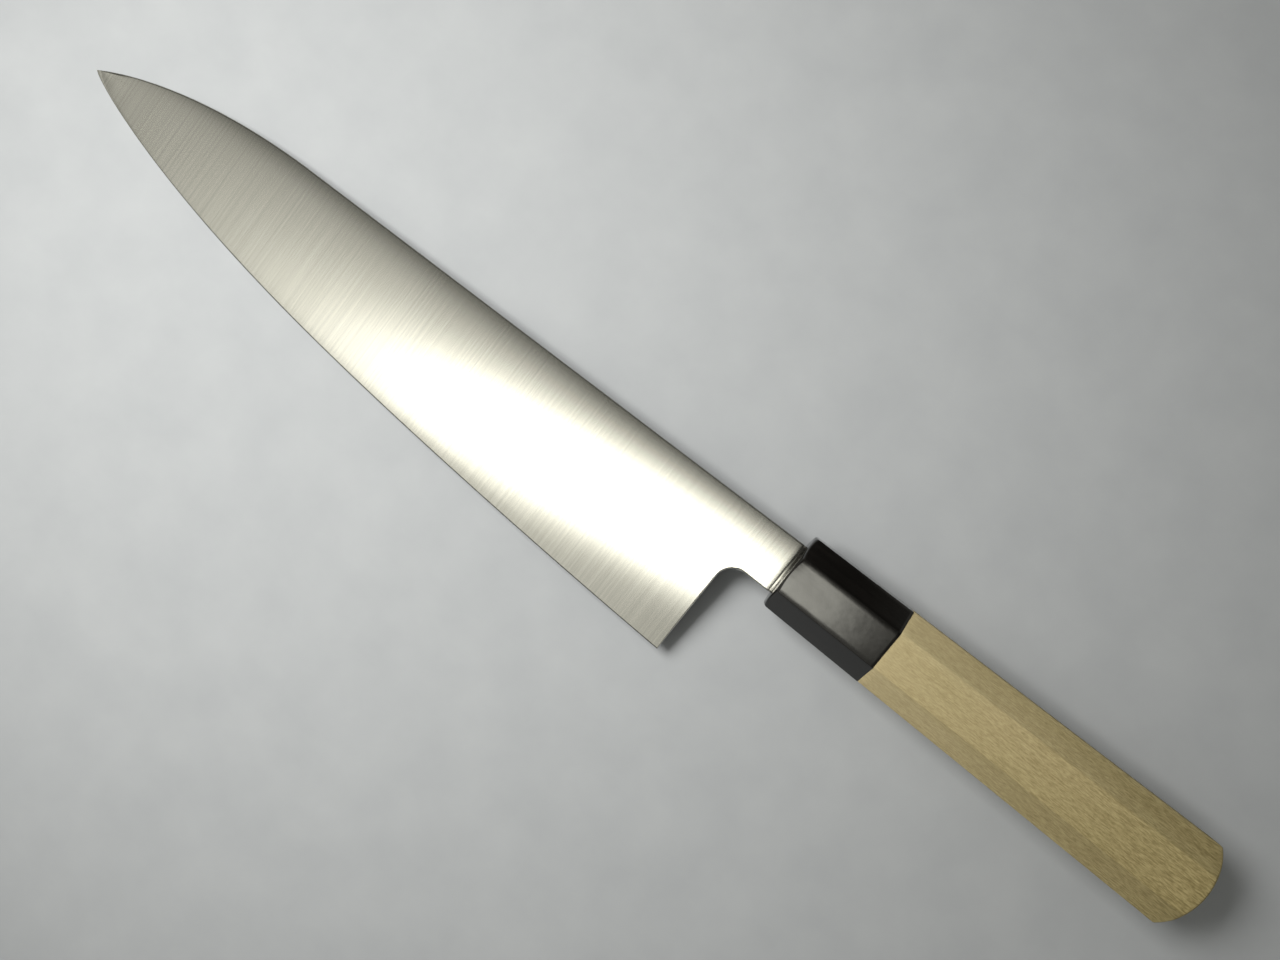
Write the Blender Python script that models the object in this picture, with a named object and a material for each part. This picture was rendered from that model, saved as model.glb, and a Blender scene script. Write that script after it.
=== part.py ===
"""Japanese chef's knife (wa-gyuto, 210 mm class) as the separate pieces that a maker fits together.

The knife is drawn in its own frame, in millimetres: X runs from the tip to the butt, Y from the
cutting edge to the spine and Z out of the blade's left side. X = 0 is the front face of the ferrule,
and the handle's centre line is Y = Z = 0. One empty then lays the knife down on a flat surface.
"""
import math

import bmesh
import bpy
from mathutils import Vector

MM = 0.001
GAP = 0.3                       # clearance between neighbouring pieces

# Blade outline
MACHI_X = -1.55                 # end of the blade, where its neck meets the tang plate
SPINE_START_Y = 7.25
SPINE_SLOPE = 0.0175
SPINE_DROP_X = -160.0           # the straight spine ends here and falls ever faster to the tip
SPINE_DROP_HANDLE = 39.6
TIP = (-224.2, -9.75)
TIP_SPINE_HANDLE = (4.0, 2.5)
TIP_EDGE_HANDLE = (3.0, -2.5)
HEEL = (-13.5, -36.6)
HEEL_SLOPE = 0.023
HEEL_HANDLE = 26.2
BELLY = (-141.0, -28.83)
BELLY_SLOPE = 0.114
BELLY_HANDLES = (42.0, 53.4)    # towards the heel, towards the tip
CHOIL_X = -13.2                 # top of the upright wall behind the heel
CHOIL_RADIUS = 5.0
NECK_UNDER_Y = -7.55
CURVE_STEPS = 14
TIP_STUB = 0.5                  # length left off the very point, so that it stays solid

# Blade thickness
NECK_THICKNESS = 2.9
TIP_THICKNESS = 0.9
EDGE_THICKNESS = 0.3
DISTAL_POWER = 1.25             # how the spine thins from neck to tip
GRIND_POWER = 1.5               # convex sides: how each section thins from spine to edge
GRIND_STEPS = (0.0, 0.3, 0.6, 0.85, 1.0)
SPINE_EASE = 0.25               # small chamfer along both corners of the spine

# Tang
PLATE_FRONT_X = MACHI_X + GAP
PLATE_BACK_X = -GAP
PLATE_THICKNESS = 2.5
TANG_END_X = 92.0
TANG_FRONT_SIZE = (8.4, 2.3)    # height in Y, thickness in Z
TANG_END_SIZE = (4.2, 1.5)
TANG_POINT = 3.0                # length of the tapered last stretch

# Handle
HANDLE_END_X = 125.4
FERRULE_END_X = 29.85
FRONT_SIZE = (21.25, 17.4)      # width in Y, thickness in Z
BUTT_SIZE = (24.7, 20.4)
FRONT_CHAMFER = 5.4             # leg of each 45 degree chamfer
BUTT_CHAMFER = 6.5
DOME_RADIUS = 20.0
DOME_CENTRE_Y = 0.6             # the butt is sanded a little fuller on the spine side
DOME_RINGS = (0.9, 0.72, 0.52, 0.32, 0.14)
TURN_START = 7.8                # the ferrule's front is flat inside this radius and set back outside it
TURN_REACH = 2.8
TURN_DEPTH = 1.1
TURN_POWER = 1.6
RIM_ROUNDING = ((0.0, 0.5), (0.12, 0.2), (0.45, 0.0))   # (set back in x, inset) over the front rim
END_SOLVE_STEPS = 6             # rounds that settle where a flat meets an end surface
FERRULE_WALL = 6.0              # thickness of the ferrule's closed front
BORE_DIAMETER = 13.4
TENON_DIAMETER = BORE_DIAMETER - 2 * GAP
TENON_FRONT_X = FERRULE_WALL + 2 * GAP
SEGMENTS_PER_FLAT = 4
RING_POINTS = 8 * SEGMENTS_PER_FLAT

# Fillers round the tang
FILLER_WALL = 0.9
SEAL_SPAN = (0.5, FERRULE_WALL - GAP)
BEDDING_SPAN = (TENON_FRONT_X + 0.4, TANG_END_X + 2.0)
POCKET_END_X = BEDDING_SPAN[1] + 1.5

# Rest attitude: the knife lies on the ferrule's lower corner and on the edge near the tip
REST_ROLL = math.radians(6.8)
PITCH_SOLVE_STEPS = 4           # rounds that settle which corner of the ferrule touches


def lerp(a, b, t):
    return a + (b - a) * t


def material(name, colour, roughness, metallic):
    """Make one Principled BSDF material."""
    result = bpy.data.materials.new(name)
    result.use_nodes = True
    shader = result.node_tree.nodes["Principled BSDF"]
    shader.inputs["Base Color"].default_value = (*colour, 1.0)
    shader.inputs["Roughness"].default_value = roughness
    shader.inputs["Metallic"].default_value = metallic
    return result


def loft(name, rings, closed=False):
    """Skin a list of equal rings of (x, y, z) points in millimetres; cap both ends unless closed."""
    mesh = bmesh.new()
    rows = [[mesh.verts.new(Vector(point) * MM) for point in ring] for ring in rings]
    pairs = list(zip(rows, rows[1:]))
    if closed:
        pairs.append((rows[-1], rows[0]))
    for near, far in pairs:
        for i in range(len(near)):
            j = (i + 1) % len(near)
            mesh.faces.new((near[i], near[j], far[j], far[i]))
    if not closed:
        mesh.faces.new(list(reversed(rows[0])))
        mesh.faces.new(rows[-1])
    bmesh.ops.recalc_face_normals(mesh, faces=mesh.faces)
    data = bpy.data.meshes.new(name)
    mesh.to_mesh(data)
    mesh.free()
    result = bpy.data.objects.new(name, data)
    bpy.context.scene.collection.objects.link(result)
    return result


def cut(target, cutter):
    """Subtract a hidden cutter from the target."""
    cutter.hide_render = True
    cutter.display_type = "WIRE"
    modifier = target.modifiers.new("cut_" + cutter.name, "BOOLEAN")
    modifier.operation = "DIFFERENCE"
    modifier.object = cutter


def finish(piece, finish_material, axis, angle=30.0):
    """Give a piece its material, its smooth shading and its parent."""
    piece.data.materials.append(finish_material)
    piece.data.shade_smooth()
    piece.data.set_sharp_from_angle(angle=math.radians(angle))
    piece.parent = axis
    return piece


# ---------------------------------------------------------------- blade

def bezier(p0, p1, p2, p3, steps=CURVE_STEPS):
    """Points along one cubic curve, both ends included."""
    points = []
    for i in range(steps + 1):
        t = i / steps
        s = 1.0 - t
        points.append(tuple(
            s ** 3 * a + 3 * s * s * t * b + 3 * s * t * t * c + t ** 3 * d
            for a, b, c, d in zip(p0, p1, p2, p3)))
    return points


def spine_curve():
    """Spine from the machi to the tip: straight, then one falling curve."""
    drop_y = SPINE_START_Y + SPINE_SLOPE * (SPINE_DROP_X - MACHI_X)
    drop = (SPINE_DROP_X, drop_y)
    leave = (SPINE_DROP_X - SPINE_DROP_HANDLE, drop_y - SPINE_SLOPE * SPINE_DROP_HANDLE)
    arrive = (TIP[0] + TIP_SPINE_HANDLE[0], TIP[1] + TIP_SPINE_HANDLE[1])
    return [(MACHI_X, SPINE_START_Y)] + bezier(drop, leave, arrive, TIP)


def edge_curve():
    """Cutting edge from below the machi, past the heel and the belly, to the tip."""
    behind_heel = (0.0, HEEL[1] + HEEL_SLOPE * HEEL[0])
    leave = (HEEL[0] - HEEL_HANDLE, HEEL[1] + HEEL_SLOPE * HEEL_HANDLE)
    into_belly = (BELLY[0] + BELLY_HANDLES[0], BELLY[1] - BELLY_SLOPE * BELLY_HANDLES[0])
    out_of_belly = (BELLY[0] - BELLY_HANDLES[1], BELLY[1] + BELLY_SLOPE * BELLY_HANDLES[1])
    arrive = (TIP[0] + TIP_EDGE_HANDLE[0], TIP[1] + TIP_EDGE_HANDLE[1])
    rear = bezier(HEEL, leave, into_belly, BELLY)
    front = bezier(BELLY, out_of_belly, arrive, TIP)
    return [behind_heel] + rear + front[1:]


def height_at(curve, x):
    """Y of a curve of falling x values at one x."""
    for (x0, y0), (x1, y1) in zip(curve, curve[1:]):
        if x1 <= x <= x0:
            return lerp(y0, y1, (x0 - x) / (x0 - x1))
    return curve[-1][1]


def spine_thickness(x):
    """Distal taper: the spine thins from the neck to the tip."""
    along = (MACHI_X - x) / (MACHI_X - TIP[0])
    return lerp(NECK_THICKNESS, TIP_THICKNESS, along ** DISTAL_POWER)


def blade_section(x, spine, edge):
    """Closed ring of one cross-section, from the spine down the left side and back up."""
    top = height_at(spine, x)
    low = height_at(edge, x)
    half = spine_thickness(x) / 2
    ease = min(SPINE_EASE, (top - low) / 8, half / 2)
    side = [(top, half - ease)]
    for step in GRIND_STEPS:
        y = lerp(top - ease, low, step)
        side.append((y, lerp(half, EDGE_THICKNESS / 2, step ** GRIND_POWER)))
    left = [(x, y, z) for y, z in side]
    right = [(x, y, -z) for y, z in reversed(side)]
    return left + right


def blade_stations():
    """X of every cross-section: both outline curves' own points, from machi to tip."""
    marks = {round(x, 3) for x, _ in spine_curve() + edge_curve()}
    last = TIP[0] + TIP_STUB
    inside = [x for x in marks if last + TIP_STUB < x < MACHI_X - TIP_STUB]
    return [MACHI_X] + sorted(inside, reverse=True) + [last]


def choil_outline():
    """Region cut away between the heel, the neck and the ferrule."""
    centre = (CHOIL_X + CHOIL_RADIUS, NECK_UNDER_Y - CHOIL_RADIUS)
    arc_steps = 8
    arc = []
    for i in range(arc_steps + 1):
        angle = math.pi - math.pi / 2 * i / arc_steps
        arc.append((centre[0] + CHOIL_RADIUS * math.cos(angle),
                    centre[1] + CHOIL_RADIUS * math.sin(angle)))
    below = HEEL[1] - 10.0
    behind = 5.0
    return [(HEEL[0], below), HEEL] + arc + [(behind, NECK_UNDER_Y), (behind, below)]


def make_blade():
    spine = spine_curve()
    edge = edge_curve()
    blade = loft("blade", [blade_section(x, spine, edge) for x in blade_stations()])
    reach = NECK_THICKNESS * 2
    outline = choil_outline()
    cutter = loft("choil_cutter", [[(x, y, z) for x, y in outline] for z in (-reach, reach)])
    cut(blade, cutter)
    return blade, cutter


# ---------------------------------------------------------------- tang and fillers

def slab(x, height, thickness, corner=0.35, lift=0.0):
    """Ring of a rectangle across the knife's axis with small cut corners."""
    a = height / 2
    b = thickness / 2
    c = min(corner, a / 2, b / 2)
    outline = ((a, b - c), (a - c, b), (c - a, b), (-a, b - c), (-a, c - b), (c - a, -b), (a - c, -b), (a, c - b))
    return [(x, y + lift, z) for y, z in outline]


def tang_size(x):
    """Height and thickness of the tapering tang at one x."""
    t = max(0.0, min(1.0, x / TANG_END_X))
    return tuple(lerp(a, b, t) for a, b in zip(TANG_FRONT_SIZE, TANG_END_SIZE))


def sleeve(x, clearance):
    """Ring that stands clear of the tang by the given distance all round."""
    height, thickness = tang_size(x)
    return slab(x, height + 2 * clearance, thickness + 2 * clearance, corner=0.6)


def make_tang():
    """Plate the size of the blade's neck, then the tapering tang that the handle hides."""
    plate_height = SPINE_START_Y - NECK_UNDER_Y
    plate_centre = (SPINE_START_Y + NECK_UNDER_Y) / 2
    point_x = TANG_END_X - TANG_POINT
    end_height, end_thickness = TANG_END_SIZE
    rings = [
        slab(PLATE_FRONT_X, plate_height, PLATE_THICKNESS, lift=plate_centre),
        slab(PLATE_BACK_X, plate_height, PLATE_THICKNESS, lift=plate_centre),
        slab(PLATE_BACK_X, *tang_size(0.0)),
        slab(0.0, *tang_size(0.0)),
        slab(point_x, *tang_size(point_x)),
        slab(TANG_END_X, end_height * 0.5, end_thickness * 0.7),
    ]
    return loft("tang", rings)


def make_mouth_seal():
    """Filler ring round the tang in the mouth of the ferrule."""
    front, back = SEAL_SPAN
    rings = [sleeve(front, GAP), sleeve(front, GAP + FILLER_WALL),
             sleeve(back, GAP + FILLER_WALL), sleeve(back, GAP)]
    return loft("mouth_seal", rings, closed=True)


def make_tang_bedding():
    """Resin cast round the tang inside the wood: a long cup, open at the front."""
    front, back = BEDDING_SPAN
    inner_end = TANG_END_X + GAP
    rings = [sleeve(inner_end, GAP), sleeve(front, GAP),
             sleeve(front, GAP + FILLER_WALL), sleeve(back, GAP + FILLER_WALL)]
    return loft("tang_bedding", rings)


def pocket(name, start, end):
    """Cutter for the hole that a filler sits in."""
    clearance = 2 * GAP + FILLER_WALL
    return loft(name, [sleeve(start, clearance), sleeve(end, clearance)])


# ---------------------------------------------------------------- handle

def octagon(x, inset=0.0):
    """Handle section at x as (y, z) points, every flat split evenly, starting on the spine side."""
    t = x / HANDLE_END_X
    a = lerp(FRONT_SIZE[0], BUTT_SIZE[0], t) / 2 - inset
    b = lerp(FRONT_SIZE[1], BUTT_SIZE[1], t) / 2 - inset
    c = lerp(FRONT_CHAMFER, BUTT_CHAMFER, t) - inset * (2 - math.sqrt(2))
    corners = ((a, c - b), (a, b - c), (a - c, b), (c - a, b), (-a, b - c), (-a, c - b), (c - a, -b), (a - c, -b))
    points = []
    for i, start in enumerate(corners):
        stop = corners[(i + 1) % len(corners)]
        for k in range(SEGMENTS_PER_FLAT):
            step = k / SEGMENTS_PER_FLAT
            points.append((lerp(start[0], stop[0], step), lerp(start[1], stop[1], step)))
    return points


def octagon_ring(x, inset=0.0):
    return [(x, y, z) for y, z in octagon(x, inset)]


def round_ring(x, diameter):
    """Circle whose points stand in the same directions as the octagon's."""
    points = []
    for y, z in octagon(x):
        scale = diameter / 2 / math.hypot(y, z)
        points.append((x, y * scale, z * scale))
    return points


def dome_x(y, z):
    """The butt's domed end: part of a sphere."""
    beside = y - DOME_CENTRE_Y
    return HANDLE_END_X - DOME_RADIUS + math.sqrt(DOME_RADIUS ** 2 - beside * beside - z * z)


def turned_x(y, z):
    """The ferrule's front: flat in the middle and turned back towards the corners."""
    out = max(0.0, math.hypot(y, z) - TURN_START) / TURN_REACH
    return TURN_DEPTH * out ** TURN_POWER


def rim_ring(surface_x, set_back=0.0, inset=0.0):
    """Ring where the octagon's flats meet an end surface."""
    points = []
    for i in range(RING_POINTS):
        x = set_back
        for _ in range(END_SOLVE_STEPS):
            y, z = octagon(x, inset)[i]
            x = surface_x(y, z) + set_back
        points.append((x, y, z))
    return points


def dome_ring(scale):
    """Ring on the domed butt, shrunk towards its middle."""
    shrunk = [(y * scale, z * scale) for _, y, z in rim_ring(dome_x)]
    return [(dome_x(y, z), y, z) for y, z in shrunk]


def make_ferrule():
    """Horn ferrule: octagonal outside, slotted closed front, round bore from the rear."""
    rings = [round_ring(0.0, 2 * TURN_START)]
    rings += [rim_ring(turned_x, set_back, inset) for set_back, inset in RIM_ROUNDING]
    rings.append(octagon_ring(FERRULE_END_X))
    ferrule = loft("ferrule", rings)
    slot = pocket("mouth_cutter", -1.0, FERRULE_WALL + 1.0)
    bore = loft("bore_cutter", [round_ring(FERRULE_WALL, BORE_DIAMETER),
                                round_ring(FERRULE_END_X + 1.0, BORE_DIAMETER)])
    cut(ferrule, slot)
    cut(ferrule, bore)
    return ferrule, [slot, bore]


def make_handle_body():
    """Magnolia handle: round tenon, octagonal body, domed butt, pocket for the bedded tang."""
    shoulder_x = FERRULE_END_X + GAP
    rings = [round_ring(TENON_FRONT_X, TENON_DIAMETER),
             round_ring(shoulder_x, TENON_DIAMETER),
             octagon_ring(shoulder_x),
             rim_ring(dome_x)]
    rings += [dome_ring(scale) for scale in DOME_RINGS]
    body = loft("handle_body", rings)
    hole = pocket("tang_pocket_cutter", TENON_FRONT_X - 1.0, POCKET_END_X)
    cut(body, hole)
    return body, [hole]


# ---------------------------------------------------------------- rest attitude

def evaluated_points(piece):
    """World points of a piece as its modifiers leave it."""
    graph = bpy.context.evaluated_depsgraph_get()
    shown = piece.evaluated_get(graph)
    return [shown.matrix_world @ vertex.co for vertex in shown.data.vertices]


def lay_down(axis, pieces, blade, ferrule):
    """Roll the knife, pitch it until edge and ferrule touch one level, then centre it on the origin."""
    axis.rotation_euler = (REST_ROLL, 0.0, 0.0)
    bpy.context.view_layer.update()
    ahead = [point for point in evaluated_points(blade) if point.x < HEEL[0] * MM]
    under = evaluated_points(ferrule)
    slope = 0.0
    for _ in range(PITCH_SOLVE_STEPS):
        foot = min(under, key=lambda point: point.z + slope * point.x)
        slope = min((point.z - foot.z) / (foot.x - point.x) for point in ahead)
    axis.rotation_euler = (REST_ROLL, -math.atan(slope), 0.0)
    bpy.context.view_layer.update()
    points = [point for piece in pieces for point in evaluated_points(piece)]
    low = [min(point[i] for point in points) for i in range(3)]
    high = [max(point[i] for point in points) for i in range(3)]
    axis.location = (-(low[0] + high[0]) / 2, -(low[1] + high[1]) / 2, -low[2])
    bpy.context.view_layer.update()


def main():
    for item in list(bpy.data.objects):
        bpy.data.objects.remove(item, do_unlink=True)
    axis = bpy.data.objects.new("knife_axis", None)
    bpy.context.scene.collection.objects.link(axis)

    steel = material("blade_steel", (0.62, 0.60, 0.55), 0.28, 1.0)
    tang_steel = material("tang_steel", (0.50, 0.48, 0.44), 0.38, 1.0)
    horn = material("horn", (0.012, 0.011, 0.010), 0.22, 0.0)
    wood = material("ho_wood", (0.50, 0.42, 0.25), 0.62, 0.0)
    resin = material("resin", (0.09, 0.08, 0.06), 0.45, 0.0)

    blade, choil_cutter = make_blade()
    ferrule, ferrule_cutters = make_ferrule()
    body, body_cutters = make_handle_body()
    tang = make_tang()
    seal = make_mouth_seal()
    bedding = make_tang_bedding()
    finishes = ((blade, steel), (tang, tang_steel), (ferrule, horn), (body, wood), (seal, resin), (bedding, resin))
    pieces = [finish(piece, look, axis) for piece, look in finishes]
    for cutter in [choil_cutter] + ferrule_cutters + body_cutters:
        cutter.parent = axis
    lay_down(axis, pieces, blade, ferrule)


main()
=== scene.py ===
"""Looks of the Japanese chef's knife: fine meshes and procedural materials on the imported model.

The knife is drawn in its own axes, in millimetres: X from the tip to the butt, Y from the cutting
edge to the spine, Z out of the left side, X = 0 at the ferrule's front face. These axes are read off
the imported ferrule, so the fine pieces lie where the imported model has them.
"""

import math

import bmesh
import bpy
import numpy as np
from mathutils import Matrix, Vector


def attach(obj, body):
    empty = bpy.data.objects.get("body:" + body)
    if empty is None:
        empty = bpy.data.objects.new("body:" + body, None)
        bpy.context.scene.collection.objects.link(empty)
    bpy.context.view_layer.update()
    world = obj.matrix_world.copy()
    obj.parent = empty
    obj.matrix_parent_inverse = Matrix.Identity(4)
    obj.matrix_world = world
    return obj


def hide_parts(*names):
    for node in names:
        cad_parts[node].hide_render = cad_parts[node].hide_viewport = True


MM = 0.001
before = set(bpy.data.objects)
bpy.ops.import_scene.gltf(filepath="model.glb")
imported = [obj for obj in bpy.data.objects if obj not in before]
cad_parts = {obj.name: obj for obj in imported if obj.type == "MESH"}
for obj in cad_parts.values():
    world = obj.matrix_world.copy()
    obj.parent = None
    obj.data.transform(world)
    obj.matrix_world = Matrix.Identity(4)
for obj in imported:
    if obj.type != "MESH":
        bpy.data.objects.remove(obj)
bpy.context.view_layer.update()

# Blade outline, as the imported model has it, except for the seam
MACHI_X = -0.87                 # the seam between neck and tang plate, 0.7 mm nearer the ferrule
SPINE_START = (-1.55, 7.25)
SPINE_SLOPE = 0.0175
SPINE_DROP_X = -160.0
SPINE_DROP_HANDLE = 39.6
TIP = (-224.2, -9.75)
TIP_SPINE_HANDLE = (4.0, 2.5)
TIP_EDGE_HANDLE = (3.0, -2.5)
TIP_STUB = 0.1                  # length left off the very point
HEEL = (-13.5, -36.6)
HEEL_SLOPE = 0.023
HEEL_HANDLE = 26.2
BELLY = (-141.0, -28.83)
BELLY_SLOPE = 0.114
BELLY_HANDLES = (42.0, 53.4)
CHOIL_X = -13.2
CHOIL_RADIUS = 5.0
NECK_UNDER_Y = -7.55

# Blade mesh: rows run along the blade, columns from spine to edge
CURVE_END_X = 5.0               # spine and edge are drawn on to here, past the seam
CURVE_POINTS = 160
SLOPE_REACH = 0.4               # a curve's slope is measured over this length to each side
EDGE_ROWS = (0.0, 0.03, 0.08, 0.16, 0.26, 0.37, 0.46)   # distances from a rounded edge
NECK_ROWS = 8
ARC_ROWS = 6
HEEL_ROWS = 12
HEEL_ROW_POWER = 0.9            # below 1, the rows stand closer together near the edge
SHRINK_BELOW = 8.0              # the distances shrink where the blade is lower than this
ROW_BLEND_X = (-40.0, -20.0)    # between these, rows in proportion turn into rows along the neck
SEAM_COLUMNS = (0.0, 0.08, 0.2, 0.4, 0.7, 1.1, 1.6)     # distances from the seam
NECK_COLUMNS = 5
FRONT_COLUMNS = 150
FRONT_SPACING = 1.25            # above 1, the columns stand closer together near the tip
FRONT_END_X = -18.0             # from here on, the columns follow the choil
CHOIL_COLUMNS = 6

# Blade section
NECK_THICKNESS = 2.9
TIP_THICKNESS = 0.9
BEHIND_EDGE_THICKNESS = 0.2
DISTAL_POWER = 1.25
GRIND_POWER = 1.5
SPINE_ROUNDING = 0.36
CHOIL_ROUNDING = 0.35
BEVEL_WIDTH = 0.25              # the sharpened bevel along the cutting edge
APEX = 0.012                    # half thickness of the very edge
ROUNDING_LIMIT = 0.85           # a rounding takes at most this share of the half thickness
NECK_FALL_LENGTH = 1.6          # the face rounds down over this length to the seam
NECK_FALL_DEPTH = 0.1

# Handle
HANDLE_END_X = 125.4
JOINT_X = 30.0                  # horn meets wood
FRONT_SIZE = (21.25, 17.4)
BUTT_SIZE = (24.7, 20.4)
FRONT_CHAMFER = 5.4
BUTT_CHAMFER = 6.5
DOME_RADIUS = 20.0
DOME_CENTRE_Y = 0.6
DOME_TOP_X = HANDLE_END_X + 0.2
DOME_FILLET = 0.45
FRONT_ROUNDING = (0.55, 1.2)    # rounding of the ferrule's front rim, mid-flat and at the corners
HORN_SOFTNESS = 0.2             # radius of the eased long corners
WOOD_SOFTNESS = 0.45
HORN_LEAN = math.radians(1.8)   # the horn's flats are sanded this far off the blade's plane
HORN_LIFT = 0.05                # and stand this much higher
JOINT_RIM = ((0.02, 1.2), (0.02, 0.10), (0.05, 0.03), (0.14, 0.0))  # (from the joint, inset) of its rings
SIDES = 8
PER_FLAT = 8                    # steps of a section ring along a flat and round a corner
PER_CORNER = 4
RIM_ROUNDS = 8                  # rounds that settle where the flats meet an end surface
WOOD_RINGS_X = np.linspace(JOINT_X + 2.0, 118.0, 30)
HORN_RINGS_X = np.linspace(3.0, JOINT_X - 0.8, 14)
BUTT_SHARES = (0.9, 0.78, 0.64, 0.5, 0.36, 0.22, 0.1)   # sizes of the rings on an end surface
FRONT_SHARES = (0.9, 0.8, 0.72)
FRONT_RIM_STEPS = 12
FRONT_RIM_SPREAD = 2.2          # the front's rim is this many times wider than it is deep

# Ferrule mouth, seal and tang plate
MOUTH_SIZE = (10.6, 4.6)
MOUTH_DEPTH = 4.0
MOUTH_CORNER = 1.2
SLOT_PER_CORNER = 6
SEAL_HOLE_X = 0.22              # X of the seal's face at the tang, between and at the mouth
SEAL_MIDDLE_X = 0.16
SEAL_RIM_X = 0.3
SEAL_MIDDLE_SIZE = (9.5, 3.4)
SEAL_MIDDLE_CORNER = 0.8
SEAL_BACK_X = 3.9
SEAL_HOLE_PLAY = 0.06           # the hole is this much larger than the tang
SEAL_RIM_PLAY = 0.05            # and the seal this much smaller than the mouth
PLATE_THICKNESS = 2.5
PLATE_CORNER = 0.6
PLATE_PLAY = 0.1                # the plate is this much lower than the neck
PLATE_RINGS = ((-0.84, 0.14), (-0.82, 0.06), (-0.77, 0.02), (-0.68, 0.0),   # (x, inset)
               (-0.12, 0.0), (-0.05, 0.02), (-0.02, 0.08))

# Tang
TANG_END_X = 92.0
TANG_FRONT_SIZE = (8.4, 2.3)
TANG_END_SIZE = (4.2, 1.5)
TANG_CORNER = 0.3
TANG_RINGS_X = (0.5, 30.0, 60.0, 89.0)
TANG_POINT_SIZE = (2.1, 1.0)

# Camera, in metres: the photograph's viewing angle
CAMERA_PLACE = (0.01952, -0.00067, 0.32036)
CAMERA_AIM = (0.00553, 0.00641, 0.0)
CAMERA_SPIN = math.radians(38.395)
CAMERA_LENS = 34.8

# Floor, in metres
FLOOR_HALF = 3.0
FLOOR_Z = -0.00005              # just under the knife, so that the two don't share a plane

# Softbox that lights the wood and the floor, in metres and watts
SOFTBOX_PLACE = (-0.35, -0.015, 0.45)
SOFTBOX_AIM = (-0.08, 0.0, 0.0)
SOFTBOX_SIZE = 0.30
SOFTBOX_POWER = 0.88
SOFTBOX_COLOUR = (1.0, 0.98, 0.90)
SOFTBOX_SPREAD = math.radians(64.0)

# Studio surroundings. A direction is given by its leans: its x and y divided by its height.
WARM = (1.0, 0.985, 0.87)
LOWEST_HEIGHT = 0.02            # directions near the horizon count as this high
SIDE_LIGHTS = (                 # ((light before, light after), (from, to)): steps along Y that add up
    ((0.12, 0.55), (-1.40, -1.15)),
    ((0.0, -0.13), (-0.80, -0.65)),
    ((0.0, -0.38), (-0.21, -0.165)),
    ((0.0, 0.22), (0.15, 0.35)),
    ((0.0, -0.24), (0.9, 2.2)),
)
SIDE_END = (0.08, 0.15)         # towards the butt the sides fade over these leans, to this share
SIDE_END_LIGHT = 0.25
ROOM_LIGHT = 0.24               # even light far out along X, past the butt and past the tip
ROOM_NEAR_BUTT = (0.5, 1.0)     # it fades in and out over these leans
ROOM_NEAR_TIP = (-1.7, -1.2)
LAMP_CENTRE = (-0.08, -0.261)   # the long lamp that the blade mirrors
LAMP_TILT = 0.23                # it moves this much towards +Y for each step along X
LAMP_SIZE = (0.245, 0.047, 0.0525)      # along X, towards +Y, towards -Y
LAMP_END = (0.05, 0.085)        # towards the butt it ends over these leans
LAMP_LIGHT = 5.8
GLOW_CENTRE = (-0.38, -0.275)   # a weak glow past the lamp's far end
GLOW_SIZE = (0.24, 0.10, 0.13)
GLOW_LIGHT = 0.40
REFLECTOR_CENTRE = (-0.18, -0.40)       # a weak reflector beside the lamp
REFLECTOR_SIZE = (0.22, 0.05, 0.08)
REFLECTOR_LIGHT = 0.38


def lerp(a, b, t):
    """Value at the share t of the way from a to b."""
    return a + (b - a) * t


# ---------------------------------------------------------------- the knife's own axes

def knife_matrix():
    """Rotation and place of the knife's axes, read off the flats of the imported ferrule."""
    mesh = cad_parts["ferrule"].data
    along = Vector()
    across = Vector()
    for face in mesh.polygons:
        if face.normal.x > 0.98:
            along += face.normal * face.area
        if abs(face.normal.z) > 0.98:
            across += face.normal * face.area * math.copysign(1.0, face.normal.z)
    x_axis = along.normalized()
    z_axis = (across - across.project(x_axis)).normalized()
    front = [face for face in mesh.polygons if face.normal.dot(x_axis) < -0.9999]
    centre = sum((face.center * face.area for face in front), Vector()) / sum(face.area for face in front)
    turn = Matrix((x_axis, z_axis.cross(x_axis), z_axis)).transposed().to_4x4()
    return Matrix.Translation(centre) @ turn


KNIFE = knife_matrix()
PLACE = "knife_place"           # attribute: each vertex's place in the knife's own axes, in metres


# ---------------------------------------------------------------- mesh helpers

def new_piece(name, mesh, replaces):
    """Link a mesh drawn in the knife's axes as a piece that rides on the knife's one body."""
    place = mesh.verts.layers.float_vector.new(PLACE)
    for vertex in mesh.verts:
        vertex[place] = vertex.co
    bmesh.ops.transform(mesh, matrix=KNIFE, verts=mesh.verts)
    data = bpy.data.meshes.new(name)
    mesh.to_mesh(data)
    mesh.free()
    piece = bpy.data.objects.new(name, data)
    bpy.context.scene.collection.objects.link(piece)
    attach(piece, "root")
    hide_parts(replaces)
    return piece


def shade(mesh, hard_past, crisp=()):
    """Faces outwards, smooth shading, hard edges past an angle in degrees and along the given edges."""
    bmesh.ops.recalc_face_normals(mesh, faces=mesh.faces)
    limit = math.radians(hard_past)
    for face in mesh.faces:
        face.smooth = True
    for edge in mesh.edges:
        edge.smooth = edge.calc_face_angle(0.0) < limit
    for edge in crisp:
        edge.smooth = False


def skin(mesh, rings, cap_start=True, closed=False):
    """Skin equal rings of (x, y, z) in millimetres, with capped ends unless the rings close up."""
    rows = [[mesh.verts.new(Vector(point) * MM) for point in ring] for ring in rings]
    pairs = list(zip(rows, rows[1:]))
    if closed:
        pairs.append((rows[-1], rows[0]))
    for near, far in pairs:
        for i in range(len(near)):
            j = (i + 1) % len(near)
            mesh.faces.new((near[i], near[j], far[j], far[i]))
    if cap_start and not closed:
        mesh.faces.new(list(reversed(rows[0])))
    if not closed:
        mesh.faces.new(rows[-1])
    return rows


# ---------------------------------------------------------------- blade

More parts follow.
